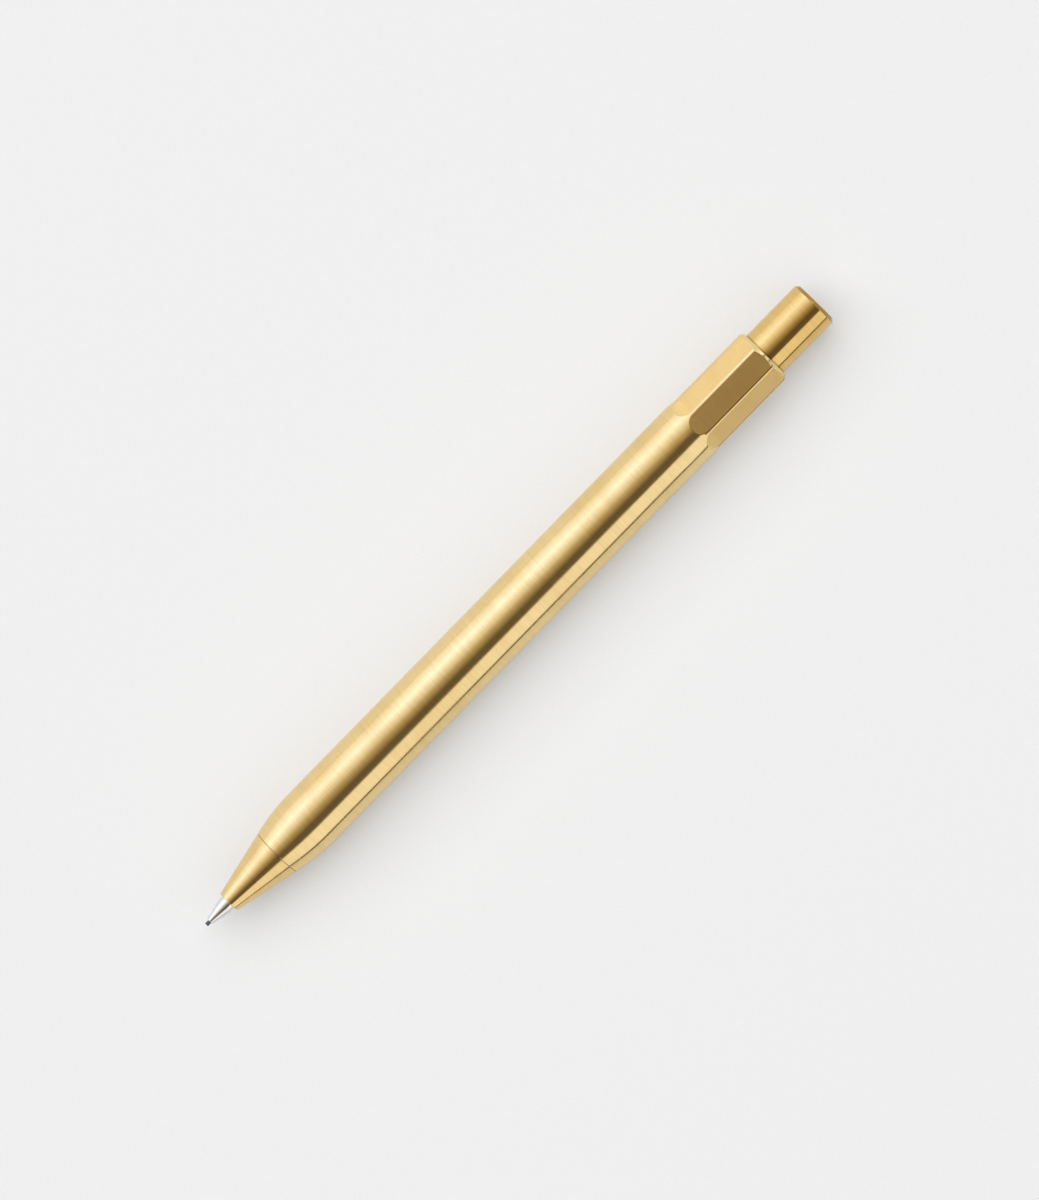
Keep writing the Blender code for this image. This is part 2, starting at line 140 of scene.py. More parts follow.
def close_mesh(name, bm, smooth=32):
    """Turns a closed bmesh into a mesh, with edges sharper than this many degrees left sharp."""
    bmesh.ops.remove_doubles(bm, verts=bm.verts, dist=1e-7)
    bmesh.ops.recalc_face_normals(bm, faces=bm.faces)
    mesh = bpy.data.meshes.new(name)
    bm.to_mesh(mesh)
    bm.free()
    mesh.shade_smooth()
    mesh.set_sharp_from_angle(angle=math.radians(smooth))
    return mesh


def rings_mesh(name, rings):
    """A closed surface through rings, each (station, [(angle, radius), ...]), the last one joined to the first."""
    bm = bmesh.new()
    made = []
    for s, spokes in rings:
        x = FRONT + s * MM
        ring = []
        for angle, radius in spokes:
            y, z = radius * MM * math.sin(angle), radius * MM * math.cos(angle)
            ring.append(bm.verts.new((x, y, AXIS + z)))
        made.append(ring)
    for a, b in zip(made, made[1:] + made[:1]):
        for k in range(len(a)):
            j = (k + 1) % len(a)
            bm.faces.new((a[k], a[j], b[j], b[k]))
    return close_mesh(name, bm)


def lathe(name, outline, segments, shape=None):
    """A closed outline turned about the axis. shape may change a radius, given its station and angle."""
    angles = [2 * math.pi * k / segments for k in range(segments)]
    rings = []
    for s, r in outline:
        rings.append((s, [(a, shape(s, a, r) if shape else r) for a in angles]))
    return rings_mesh(name, rings)


def solid_lathe(name, outline, segments):
    """A turned piece with no bore: its outline runs from the axis to the axis."""
    bm = bmesh.new()
    made = []
    for s, r in outline:
        x = FRONT + s * MM
        count = 1 if r == 0 else segments
        turns = [2 * math.pi * k / segments for k in range(count)]
        made.append([bm.verts.new((x, r * MM * math.sin(a), AXIS + r * MM * math.cos(a))) for a in turns])
    for a, b in zip(made, made[1:]):
        for k in range(segments):
            j = (k + 1) % segments
            corners = [a[k % len(a)], a[j % len(a)], b[j % len(b)], b[k % len(b)]]
            bm.faces.new(list(dict.fromkeys(corners)))
    return close_mesh(name, bm)


# ---------------------------------------------------------------- barrel

def thread_wave(s, angle):
    """The right-handed thread's height at this place, from 0 at its root to 1 at its crest."""
    return 0.5 + 0.5 * math.cos(2 * math.pi * s / PITCH + angle - math.pi / 2)


def thread_fade(s, start, end):
    """Brings a thread in and out over one turn at its two ends."""
    return max(0.0, min(1.0, (s - start) / PITCH, (end - s) / PITCH))


def inner_thread(s, angle, r):
    """The barrel's thread, which stands inward of its bore."""
    fade = thread_fade(s, 18.3, 22.9)
    return r + THREAD_DEPTH * fade * (thread_wave(s, angle) - 1) if r == THREAD_BORE else r


def outer_thread(s, angle, r):
    """The nose's thread, which stands outward of its spigot."""
    fade = thread_fade(s, 18.2, 22.0)
    return r + THREAD_DEPTH * fade * thread_wave(s, angle) if r == SPIGOT_ROOT else r


def soft_min(a, b, width):
    """The lesser of two, blended where they differ by less than width."""
    near = max(width - abs(a - b), 0) / width
    return min(a, b) - near * near * width / 4


def flat_depth(s):
    """How far from the axis the eight milled surfaces lie: flat behind, and a round scoop in front."""
    run, depth = FLAT_FRONT - SCOOP_FRONT, BARREL_RADIUS - FLAT
    radius = (run**2 + depth**2) / (2 * depth)
    ahead = min(max(FLAT_FRONT - s, 0), radius * 0.9)
    return FLAT + radius - math.sqrt(radius**2 - ahead**2)


def edge_step(edge):
    """Degrees between the spokes that round the edge of a flat over."""
    return min(0.75, 0.3 * edge, 0.42 * (STRIP_TURN - edge))


def sector(edge):
    """Angles across one eighth of a turn, in degrees, crowded where a flat meets the round at +-edge."""
    w = edge_step(edge)
    inside = edge - 3 * w
    right = [edge + w * k for k in (-3, -2, -1, 0, 1, 2)]
    middle = [inside * k for k in (-0.66, -0.33, 0, 0.33, 0.66)]
    rest = FLAT_TURN - 2 * right[-1]
    strip = [right[-1] + rest * k / 7 for k in range(1, 7)]
    return [-a for a in reversed(right)] + middle + right + strip


def barrel_ring(s, r, edge, outside=True, thread=False):
    """One ring of the barrel: its spokes meet the flats' edges at +-edge degrees from the middle of each flat."""
    spokes = []
    width = 0.010
    if outside and edge > 0.5:
        slope = math.tan(math.radians(edge)) / math.cos(math.radians(edge))
        width = max(width, FLAT * slope * math.radians(edge_step(edge)))
    for k in range(8):
        for a in sector(edge):
            angle = math.radians(FLAT_TURN * k + a)
            radius = r
            if outside:
                from_middle = math.radians(min(abs(a), FLAT_TURN - abs(a) % FLAT_TURN))
                radius = soft_min(r, flat_depth(s) / math.cos(from_middle), width)
            if thread:
                radius = inner_thread(s, angle, r)
            spokes.append((angle, radius))
    return s, spokes


def rear_edge():
    """The outline of the barrel's rear end: its chamfer and the rim of its bore, with small rounds."""
    chamfer = [(120, BARREL_RADIUS), (128.8, BARREL_RADIUS), (BARREL_END, 4.65), (BARREL_END, BARREL_BORE + 0.08)]
    return fillet(chamfer, {1: 0.10, 2: 0.06})[1:-1]


def radius_on(outline, s):
    """The radius of an outline at a station, or the barrel's ahead of it."""
    for (s0, r0), (s1, r1) in zip(outline, outline[1:]):
        if s0 <= s <= s1 and s1 > s0:
            return r0 + (r1 - r0) * (s - s0) / (s1 - s0)
    return BARREL_RADIUS


def front_end():
    """The barrel's outline from its front rim, along the taper, to where it is straight."""
    front_radius = taper_radius(BARREL_FRONT)
    rim = [(BARREL_FRONT, front_radius - 0.05), (BARREL_FRONT + 0.015, front_radius - 0.02)]
    rim += [(BARREL_FRONT + back, taper_radius(BARREL_FRONT + back)) for back in (0.05, 0.09)]
    bend = (BARREL_RADIUS - taper_radius(TAPER_END)) / (1 - math.cos(TAPER))
    blend = []
    for k in range(25):
        a = TAPER * (1 - k / 24)
        ahead = bend * (math.sin(TAPER) - math.sin(a))
        blend.append((TAPER_END + ahead, BARREL_RADIUS - bend * (1 - math.cos(a))))
    return rim + blend


def edge_at(s, r):
    """Degrees from the middle of a flat to its edge, where the barrel's radius is r."""
    d = flat_depth(s)
    return math.degrees(math.acos(d / r)) if d < r else 0.0


def barrel_mesh():
    """Rings along the outside from front to rear, and back along the bore to the thread."""
    even = STRIP_TURN / 2
    rings = [barrel_ring(s, r, even) for s, r in front_end()]
    rings += [barrel_ring(s, BARREL_RADIUS, even) for s in (30, 40, 55, 70, 85, 98)]
    rings += [barrel_ring(s, BARREL_RADIUS, even * (1 - k / 10)) for k, s in enumerate(steps(100, 112, 10)[:-1])]
    rings += [barrel_ring(s, BARREL_RADIUS, 0.0) for s in (112.0, 112.3, 112.5)]

    scoop = [SCOOP_FRONT + (FLAT_FRONT - SCOOP_FRONT) * (k / 18) ** 1.7 for k in range(19)]
    rows = scoop + [115.0, 117, 120, 123, 126, 128, 128.4]
    rings += [barrel_ring(s, BARREL_RADIUS, edge_at(s, BARREL_RADIUS)) for s in rows]
    rear = rear_edge()
    tail = {s for s, r in rear[:-1] if s < BARREL_END} | set(steps(128.9, 129.54, 16))
    tail |= {129.25, 129.265, 129.285, 129.3}
    rings += [barrel_ring(s, radius_on(rear, s), edge_at(s, radius_on(rear, s))) for s in sorted(tail)]
    rings += [barrel_ring(s, r, 0.0) for s, r in rear[-3:]]

    bore = [(BARREL_END - back, BARREL_BORE + wider) for back, wider in ((0, 0.08), (0.05, 0.02), (0.08, 0))]
    rings += [barrel_ring(s, r, 0.0, outside=False) for s, r in bore]
    inner = enumerate(steps(128.5, 118, 7), 1)
    rings += [barrel_ring(s, BARREL_BORE, even * k / 8, outside=False) for k, s in inner]
    deep = [(BUSH_SEAT, BARREL_BORE), (BUSH_SEAT, SHELL_BORE), (23.6, SHELL_BORE), (23.6, THREAD_BORE)]
    rings += [barrel_ring(s, r, even, outside=False) for s, r in deep]
    rings += [barrel_ring(s, THREAD_BORE, even, outside=False, thread=True) for s in steps(22.9, 18.3, 74)]
    mouth = ((BARREL_FRONT + 0.15, THREAD_BORE), (BARREL_FRONT, THREAD_BORE + 0.15))
    rings += [barrel_ring(s, r, even, outside=False) for s, r in mouth]
    return rings_mesh("barrel_turned", rings)


# ---------------------------------------------------------------- the other turned pieces

def nose_mesh():
    """The cone, the neck that the O-ring sits on, and the threaded spigot."""
    bore, bore_chamfer = 1.475, 0.06
    outline = [
        (8.0, bore), (NOSE_FRONT + bore_chamfer, bore), (NOSE_FRONT, bore + bore_chamfer),
        (NOSE_FRONT, taper_radius(NOSE_FRONT)), (NOSE_END, taper_radius(NOSE_END)),
        (NOSE_END, 2.7), (18.1, 2.7), (18.1, SPIGOT_ROOT),
    ]
    rounded = fillet(outline, {3: 0.2, 4: 0.05})
    front = [p for p in rounded if p[0] <= 5.6]
    cone = [(s, taper_radius(s)) for s in [5.65] + steps(6, 16, 20) + [16.38]]
    neck = [p for p in rounded if p[0] > 16.2]
    threaded = [(s, SPIGOT_ROOT) for s in steps(18.2, 22.0, 122)]
    inside = [(22.0, 2.36), (21.94, 2.3), (9.7, 2.3), (9.35, 1.95), (8.05, 1.95), (8.05, bore)]
    return lathe("nose_turned", front + cone + neck + threaded + inside, 144, outer_thread)


def button_mesh():
    """The cap, whose bore is open to the front."""
    chamfer = BUTTON_CHAMFER
    cavity = [(140.0, 0), (139.4, 2.3), (139.2, 2.6)]
    outline = [
        (119.8, 2.6), (119.5, 2.9), (119.5, BUTTON_RADIUS - 0.2), (119.7, BUTTON_RADIUS),
        (LENGTH - chamfer - 0.2, BUTTON_RADIUS), (LENGTH - chamfer, BUTTON_RADIUS),
        (LENGTH, BUTTON_RADIUS - chamfer), (LENGTH, 0),
    ]
    return solid_lathe("button_turned", cavity + fillet(outline, {3: 0.1, 5: 0.08, 6: 0.08}), 144)


def guide_tip_mesh():
    """The pipe that the lead comes out of, the cone behind it, and its collar and shank inside the nose."""
    outline = [
        (5.3, 0.42), (0.9, 0.42), (0.8, 0.47), (0.8, 0.63), (4.15, 1.425), (8.25, 1.425), (8.25, 1.88),
        (9.8, 1.88), (9.8, 1.55), (14.5, 1.55), (14.5, 1.3), (7.7, 1.3), (7.4, 0.98), (5.6, 0.98), (5.6, 0.52),
    ]
    return lathe("guide_tip_turned", fillet(outline, {3: 0.05, 4: 1.2, 6: 0.05, 7: 0.05}), 96)


def ring_outline(start, end, inner, outer, round_off):
    """A plain sleeve's outline, with its outer corners rounded."""
    middle = (start + end) / 2
    outline = [(middle, inner), (start, inner), (start, outer), (end, outer), (end, inner), (middle + 0.01, inner)]
    return fillet(outline, {2: round_off, 3: round_off})


def torus_outline(middle, ring, cord, sides=20):
    """The round section of an O-ring: its station, the radius it is bent to, and its cord's radius."""
    turns = [2 * math.pi * k / sides for k in range(sides)]
    return [(middle + cord * math.cos(a), ring + cord * math.sin(a)) for a in turns]


def ferrule_mesh():
    outline = [
        (123.5, 1.55), (119.0, 1.55), (119.0, 1.9), (121.0, 1.9), (121.0, 2.3), (122.0, 2.3), (122.0, 1.9),
        (131.0, 1.9), (131.0, 1.65), (124.8, 1.65), (124.8, 0.3), (123.95, 0.3), (123.95, 1.55),
    ]
    return lathe("ferrule_turned", fillet(outline, {2: 0.08, 4: 0.1, 5: 0.1, 7: 0.08}), 96)


def eraser_mesh():
    start, end, radius = 124.85, 134.5, 1.58
    wear = 0.5
    turns = [math.radians(d) for d in range(0, 91, 10)]
    worn = [(end - wear + wear * math.sin(a), radius - wear * (1 - math.cos(a))) for a in turns]
    body = [(s, radius) for s in steps(start, end - 0.6, 20)]
    return solid_lathe("eraser_moulded", [(start, 0)] + body + worn + [(end + 0.02, 0.5), (end + 0.03, 0)], 72)


def carrier_mesh():
    outline = [
        (31.0, 0.9), (29.5, 0.9), (29.5, 1.5), (31.5, 1.5), (31.5, 1.2), (36.5, 1.2), (36.5, 1.0),
        (35.7, 0.5), (33.05, 0.5), (33.05, 0.9),
    ]
    return lathe("carrier_turned", fillet(outline, {2: 0.08, 3: 0.08}), 72)


def casing_mesh():
    outline = [
        (12.0, 1.6), (9.85, 1.6), (9.85, 2.2), (22.05, 2.2), (22.05, 2.98), (23.55, 2.98), (23.55, 2.2),
        (38.0, 2.2), (38.0, 1.6), (18.4, 1.6), (18.4, 0.97), (17.6, 0.97), (17.6, 1.6),
    ]
    return lathe("casing_turned", fillet(outline, {2: 0.1, 4: 0.05, 5: 0.05, 7: 0.1}), 96)


def clutch_ring_mesh():
    front, end = 15.55, 17.55
    outline = [(front + 0.3, 1.083), (front, 1.12), (front, 1.5), (end, 1.5), (end, 0.9)]
    return lathe("clutch_ring_ground", fillet(outline, {2: 0.12, 3: 0.12}), 72)


def bush_mesh():
    outline = [
        (110.0, 1.55), (106.0, 1.55), (106.0, 2.4), (106.2, 2.55), (113.05, 2.55), (113.05, 4.25),
        (114.0, 4.25), (114.0, 1.85), (113.7, 1.55),
    ]
    return lathe("bush_moulded", fillet(outline, {5: 0.05, 6: 0.1}), 96)


def retainer_mesh():
    outline = [(6.5, 0.37), (5.65, 0.37), (5.65, 0.93), (7.4, 0.93), (7.4, 0.6), (6.9, 0.37)]
    return lathe("retainer_moulded", fillet(outline, {2: 0.06, 3: 0.1}), 48)


def lead_mesh(name, start, side=0.0, down=0.0):
    """A stick of lead 60 mm long, with the edges of its ends worn."""
    end, radius, wear = start + 60.0, 0.35, 0.06
    outline = [(start, 0), (start, radius - wear), (start + wear * 0.3, radius - wear * 0.3), (start + wear, radius)]
    outline += [(s, radius) for s in steps(start + 1, end - 1, 30)]
    outline += [(end - wear, radius), (end, radius - wear), (end, 0)]
    mesh = solid_lathe(name, outline, 32)
    mesh.transform(Matrix.Translation((0, side * MM, -down * MM)))
    return mesh


def spring_mesh():
    """A wire of 0.3 mm wound into ten turns, close at both ends."""
    start, end, wire, mean = SPRING_START, SPRING_END, 0.15, 1.27
    turns, close, per_turn, sides = 10.0, 1.25, 40, 12
    close_pitch = 2 * wire + 0.08
    pitch = (end - start - 2 * close * close_pitch) / (turns - 2 * close)
    bm = bmesh.new()
    made = []
    count = round(turns * per_turn)
    for i in range(count + 1):
        turn = i / per_turn
        front, rear = min(turn, close), max(0.0, turn - (turns - close))
        s = start + (front + rear) * close_pitch + (turn - front - rear) * pitch
        a = 2 * math.pi * turn
        out = Vector((0, math.cos(a), math.sin(a)))
        centre = Vector((FRONT + s * MM, 0, AXIS)) + out * mean * MM
        ring = []
        for k in range(sides):
            b = 2 * math.pi * k / sides
            ring.append(bm.verts.new(centre + (out * math.cos(b) + Vector((math.sin(b), 0, 0))) * wire * MM))
        made.append(ring)
    for a, b in zip(made, made[1:]):
        for k in range(sides):
            j = (k + 1) % sides
            bm.faces.new((a[k], a[j], b[j], b[k]))
    bm.faces.new(made[0])
    bm.faces.new(reversed(made[-1]))
    return close_mesh("spring_wound", bm, 50)


# ---------------------------------------------------------------- materials

class Graph:
    """The node tree of a material or a world, built in code."""

    def __init__(self, owner):
        owner.use_nodes = True
        self.material = owner
        self.nodes = owner.node_tree.nodes
        self.links = owner.node_tree.links
        self.shader = self.nodes.get("Principled BSDF")

    def put(self, socket, value):
        if isinstance(value, bpy.types.NodeSocket):
            self.links.new(value, socket)
        else:
            socket.default_value = value

    def node(self, kind, *values, out=0, **options):
        made = self.nodes.new("ShaderNode" + kind)
        for key, value in options.items():
            setattr(made, key, value)
        for socket, value in zip(made.inputs, values):
            if value is not None:
                self.put(socket, value)
        return made.outputs[out] if made.outputs else made

    def math(self, operation, *values):
        return self.node("Math", *values, operation=operation)

    def xyz(self, x, y, z):
        return self.node("CombineXYZ", x, y, z)

    def noise(self, vector, scale=1.0, detail=2.0, w=None, roughness=0.5):
        made = self.nodes.new("ShaderNodeTexNoise")
        made.noise_dimensions = "3D" if w is None else "4D"
        self.put(made.inputs["Vector"], vector)
        if w is not None:
            self.put(made.inputs["W"], w)
        self.put(made.inputs["Scale"], scale)
        self.put(made.inputs["Detail"], detail)
        self.put(made.inputs["Roughness"], roughness)
        return made.outputs["Fac"]

    def ramp(self, value, *stops, smooth=False):
        """Maps a value to a grey or a colour through (position, grey or colour) stops."""
        made = self.nodes.new("ShaderNodeValToRGB")
        bar = made.color_ramp
        bar.interpolation = "EASE" if smooth else "LINEAR"
        while len(bar.elements) < len(stops):
            bar.elements.new(1.0)
        for element, (position, colour) in zip(bar.elements, stops):
            element.position = position
            element.color = (*colour, 1) if isinstance(colour, tuple) else (colour, colour, colour, 1)
        self.put(made.inputs["Fac"], value)
        return made.outputs["Color"]

    def remap(self, value, low, high, to_low, to_high):
        made = self.nodes.new("ShaderNodeMapRange")
        for socket, v in zip(made.inputs, (value, low, high, to_low, to_high)):
            self.put(socket, v)
        return made.outputs["Result"]

    def mix(self, factor, a, b, blend="MIX"):
        made = self.nodes.new("ShaderNodeMix")
        made.data_type = "RGBA"
        made.blend_type = blend
        self.put(made.inputs["Factor"], factor)
        self.put(made.inputs["A"], a if isinstance(a, bpy.types.NodeSocket) else (*a, 1))
        self.put(made.inputs["B"], b if isinstance(b, bpy.types.NodeSocket) else (*b, 1))
        return made.outputs["Result"]

    def bump(self, height, strength, distance_mm):
        made = self.nodes.new("ShaderNodeBump")
        self.put(made.inputs["Height"], height)
        made.inputs["Strength"].default_value = strength
        made.inputs["Distance"].default_value = distance_mm * MM
        return made.outputs["Normal"]

    def places(self):
        """Millimetres along the axis and from it, and the sine and cosine of the angle about it."""
        x, y, z = (self.node("SeparateXYZ", self.node("TexCoord", out=3), out=k) for k in range(3))
        x = self.math("MULTIPLY", x, 1000.0)
        y = self.math("MULTIPLY", y, 1000.0)
        z = self.math("MULTIPLY", self.math("SUBTRACT", z, AXIS), 1000.0)
        square = self.math("ADD", self.math("MULTIPLY", y, y), self.math("MULTIPLY", z, z))
        r = self.math("MAXIMUM", self.math("SQRT", square), 0.001)
        return x, y, z, r, self.math("DIVIDE", y, r), self.math("DIVIDE", z, r)

    def turning(self, x, r, sine, cosine, scale, around=0.5, detail=3.0):
        """Noise drawn out into rings about the axis, as a lathe tool leaves it, on sides and end faces alike."""
        round_y, round_z = (self.math("MULTIPLY", part, around) for part in (sine, cosine))
        vector = self.xyz(self.math("MULTIPLY", x, scale), round_y, round_z)
        return self.noise(vector, 1.0, detail, w=self.math("MULTIPLY", r, scale), roughness=0.6)


def brass(name, colour, deeper, roughness, grain=0.05, tangled=0.4, marks=(), burr_shade=None):
    """Lathe-turned brass: fine rings, broader feed marks, and a slow drift of tone from handling.

    Each mark is a band of painted shade, a darker tone between two stations and outside a radius. The burr shade is a
    dark line along the edges of the milled flats, on one side, partly a burr and partly painted shade: (first
    station, start and end in degrees from a flat, tone).
    """
    g = Graph(bpy.data.materials.new(name))
    x, _, _, r, sine, cosine = g.places()
    fine = g.turning(x, r, sine, cosine, 9.0)
    broad = g.turning(x, r, sine, cosine, 1.1, around=0.8, detail=2.0)
    handled = g.noise(g.node("TexCoord", out=3), 95.0, 4.0, roughness=0.55)
    smear = g.noise(g.xyz(g.math("MULTIPLY", x, 0.12), g.math("MULTIPLY", sine, 2.5), cosine), 1.6, 3.0)
    worn = g.ramp(handled, (0.42, 0.0), (0.68, 1.0), smooth=True)
    tone = g.mix(g.math("MULTIPLY", worn, 0.55), colour, deeper)
    lit = g.ramp(fine, (0.30, 0.93), (0.5, 1.0), (0.72, 1.05))
    tone = g.mix(1.0, tone, lit, "MULTIPLY")
    tone = g.mix(1.0, tone, g.ramp(broad, (0.35, 0.965), (0.65, 1.02)), "MULTIPLY")
    # Painted shade: each mark darkens a band of the brass where shade falls or where the metal mirrors something
    # dark.
    for start, end, inner, factor in marks:
        behind = g.math("GREATER_THAN", x, local(start))
        ahead = g.math("LESS_THAN", x, local(end))
        inside = g.math("MULTIPLY", g.math("MULTIPLY", behind, ahead), g.math("GREATER_THAN", r, inner))
        tone = g.mix(inside, tone, g.mix(1.0, tone, factor, "MULTIPLY"))
    # Painted shade: a dark line along one edge of each flat, on one side only, standing for a burr and for shade
    # there.
    if burr_shade:
        first, start, end, factor = burr_shade
        turn = g.math("MULTIPLY", g.math("ARCTAN2", g.math("MULTIPLY", sine, -1.0), cosine), 180 / math.pi)
        one_side = g.math("GREATER_THAN", turn, 0.0)
        turn = g.math("WRAP", turn, STRIP_TURN, -STRIP_TURN)
        inside = g.math("MULTIPLY", g.math("GREATER_THAN", turn, start), g.math("LESS_THAN", turn, end))
        inside = g.math("MULTIPLY", inside, one_side)
        inside = g.math("MULTIPLY", inside, g.math("GREATER_THAN", x, local(first)))
        inside = g.math("MULTIPLY", inside, g.math("GREATER_THAN", r, 5.0))
        tone = g.mix(inside, tone, g.mix(1.0, tone, factor, "MULTIPLY"))
    g.put(g.shader.inputs["Base Color"], tone)
    g.shader.inputs["Metallic"].default_value = 1.0
    uneven = g.math("ADD", g.math("MULTIPLY", fine, grain), g.math("MULTIPLY", smear, 0.05))
    uneven = g.math("ADD", uneven, g.math("MULTIPLY", worn, 0.03))
    g.put(g.shader.inputs["Roughness"], g.math("ADD", uneven, roughness - 0.5 * grain - 0.03))
    g.shader.inputs["Anisotropic"].default_value = tangled
    tangent = g.nodes.new("ShaderNodeTangent")
    tangent.direction_type = "RADIAL"
    tangent.axis = "X"
    g.links.new(tangent.outputs["Tangent"], g.shader.inputs["Tangent"])
    g.links.new(g.bump(fine, 0.25, 0.0012), g.shader.inputs["Normal"])
    return g.material


def milled_brass(name, colour, roughness):
    """Milled and blasted flats: satin, with faint cutter marks and wear, the same all round."""
    g = Graph(bpy.data.materials.new(name))
    x, y, z = g.places()[:3]
    vector = g.xyz(g.math("MULTIPLY", x, 14.0), g.math("MULTIPLY", y, 1.3), g.math("MULTIPLY", z, 1.3))
    cutter = g.noise(vector, 1.0, 3.0, roughness=0.6)
    grit = g.noise(g.node("TexCoord", out=3), 9000.0, 3.0, roughness=0.7)
    drift = g.noise(g.node("TexCoord", out=3), 260.0, 3.0)
    scoop = g.math("LESS_THAN", x, local(FLAT_FRONT))
    tone = g.mix(scoop, colour, tuple(c * k for c, k in zip(colour, (1.04, 1.07, 1.04))))
    worn = g.mix(g.ramp(drift, (0.38, 0.0), (0.66, 0.6), smooth=True), (1.0, 1.0, 1.0), (0.957, 0.92, 0.86))
    tone = g.mix(1.0, tone, worn, "MULTIPLY")
    tone = g.mix(1.0, tone, g.ramp(cutter, (0.3, 0.95), (0.7, 1.03)), "MULTIPLY")
    tone = g.mix(1.0, tone, g.ramp(grit, (0.35, 0.96), (0.65, 1.03)), "MULTIPLY")
    g.put(g.shader.inputs["Base Color"], tone)
    g.shader.inputs["Metallic"].default_value = 1.0
    uneven = g.math("ADD", g.math("MULTIPLY", grit, 0.06), g.math("MULTIPLY", cutter, 0.05))
    g.put(g.shader.inputs["Roughness"], g.math("ADD", uneven, roughness - 0.055))
    height = g.math("ADD", g.math("MULTIPLY", cutter, 0.6), g.math("MULTIPLY", grit, 0.4))
    g.links.new(g.bump(height, 0.3, 0.0015), g.shader.inputs["Normal"])
    return g.material


def steel(name, colour, roughness, scale=10.0):
    g = Graph(bpy.data.materials.new(name))
    x, _, _, r, sine, cosine = g.places()
    fine = g.turning(x, r, sine, cosine, scale)
    stain = g.noise(g.node("TexCoord", out=3), 500.0, 3.0)
    tone = g.mix(1.0, colour, g.ramp(fine, (0.3, 0.94), (0.7, 1.04)), "MULTIPLY")
    tone = g.mix(g.ramp(stain, (0.5, 0.0), (0.75, 0.2)), tone, (0.55, 0.54, 0.52))
    g.put(g.shader.inputs["Base Color"], tone)
    g.shader.inputs["Metallic"].default_value = 1.0
    g.put(g.shader.inputs["Roughness"], g.remap(fine, 0.3, 0.7, roughness * 0.8, roughness * 1.25))
    g.links.new(g.bump(fine, 0.2, 0.0008), g.shader.inputs["Normal"])
    return g.material


def plastic(name, colour, other, roughness, grain_scale, bump=0.2, metallic=0.0, depth=0.004):
    """A moulded, rubbery or pressed surface: fine grain, and slow changes of tone and gloss."""
    g = Graph(bpy.data.materials.new(name))
    grain = g.noise(g.node("TexCoord", out=3), grain_scale, 4.0, roughness=0.65)
    slow = g.noise(g.node("TexCoord", out=3), grain_scale / 18, 3.0)
    tone = g.mix(g.ramp(slow, (0.35, 0.0), (0.68, 1.0), smooth=True), colour, other)
    tone = g.mix(1.0, tone, g.ramp(grain, (0.3, 0.9), (0.7, 1.06)), "MULTIPLY")
    g.put(g.shader.inputs["Base Color"], tone)
    g.shader.inputs["Metallic"].default_value = metallic
    g.put(g.shader.inputs["Roughness"], g.remap(grain, 0.25, 0.75, roughness - 0.08, roughness + 0.08))
    g.links.new(g.bump(grain, bump, depth), g.shader.inputs["Normal"])
    return g.material


BRASS, BRASS_DEEP = (0.90, 0.68, 0.32), (0.84, 0.585, 0.243)
WARM, WARM_DEEP = (0.87, 0.645, 0.29), (0.81, 0.565, 0.22)
GOLD, GOLD_DEEP = (0.82, 0.56, 0.205), (0.76, 0.49, 0.155)
FLAT_BRASS = (0.89, 0.62, 0.255)
INNER, INNER_DEEP = (0.80, 0.60, 0.30), (0.66, 0.46, 0.22)

# The tone of the painted shade line along one edge of each flat, which also stands for a burr.
BURR_SHADE_TONE = (0.42, 0.33, 0.22)
burr_shade = (FLAT_FRONT - 1.0, 19.0, 22.4, BURR_SHADE_TONE)
barrel_brass = brass("barrel_brass", BRASS, BRASS_DEEP, 0.12, burr_shade=burr_shade)
nose_brass = brass("nose_brass", WARM, WARM_DEEP, 0.12)
# Painted shade on the button: its end chamfer is darkened, and so is a ring just behind the barrel's end, where shade
# falls in the gap between the two.
CHAMFER_SHADE_TONE, CREVICE_SHADE_TONE = (0.55, 0.50, 0.42), (0.60, 0.54, 0.44)
button_painted_shade = (
    (LENGTH - BUTTON_CHAMFER + 0.01, LENGTH + 1, 3.65, CHAMFER_SHADE_TONE),
    (BARREL_END - 0.3, BARREL_END + 0.25, 3.65, CREVICE_SHADE_TONE),
)
button_brass = brass("button_brass", GOLD, GOLD_DEEP, 0.10, marks=button_painted_shade)
inner_brass = brass("inner_brass_turned", INNER, INNER_DEEP, 0.27, grain=0.08)
flat_brass = milled_brass("milled_flats", FLAT_BRASS, 0.33)
tip_steel = steel("tip_steel", (0.84, 0.825, 0.81), 0.07)
spring_wire = steel("spring_wire", (0.62, 0.63, 0.65), 0.24, scale=30.0)
ring_steel = steel("ring_steel", (0.45, 0.45, 0.48), 0.22)
RUBBER, RUBBER_WORN = (0.018, 0.018, 0.019), (0.035, 0.034, 0.033)
rubber = plastic("moulded_rubber", RUBBER, RUBBER_WORN, 0.72, 9000.0, bump=0.5)
acetal = plastic("moulded_acetal", (0.022, 0.022, 0.024), (0.034, 0.034, 0.037), 0.38, 6000.0)
NATURAL, NATURAL_DULL = (0.70, 0.72, 0.70), (0.62, 0.64, 0.63)
natural_tube = plastic("natural_polypropylene", NATURAL, NATURAL_DULL, 0.30, 4000.0, bump=0.1)
vinyl = plastic("vinyl_eraser", (0.83, 0.82, 0.79), (0.74, 0.73, 0.71), 0.82, 5000.0, bump=0.45)
GRAPHITE, GRAPHITE_PALE = (0.055, 0.055, 0.06), (0.095, 0.095, 0.10)
graphite = plastic("graphite_lead", GRAPHITE, GRAPHITE_PALE, 0.42, 16000.0, bump=0.35, metallic=0.35)


# ---------------------------------------------------------------- pieces

def paint(obj, *made):
    obj.data.materials.clear()
    for one in made:
        obj.data.materials.append(one)
    return obj


def shown(name, mesh, body, node, slot, *made):
    return paint(place(name, mesh, body, [node]), *made)


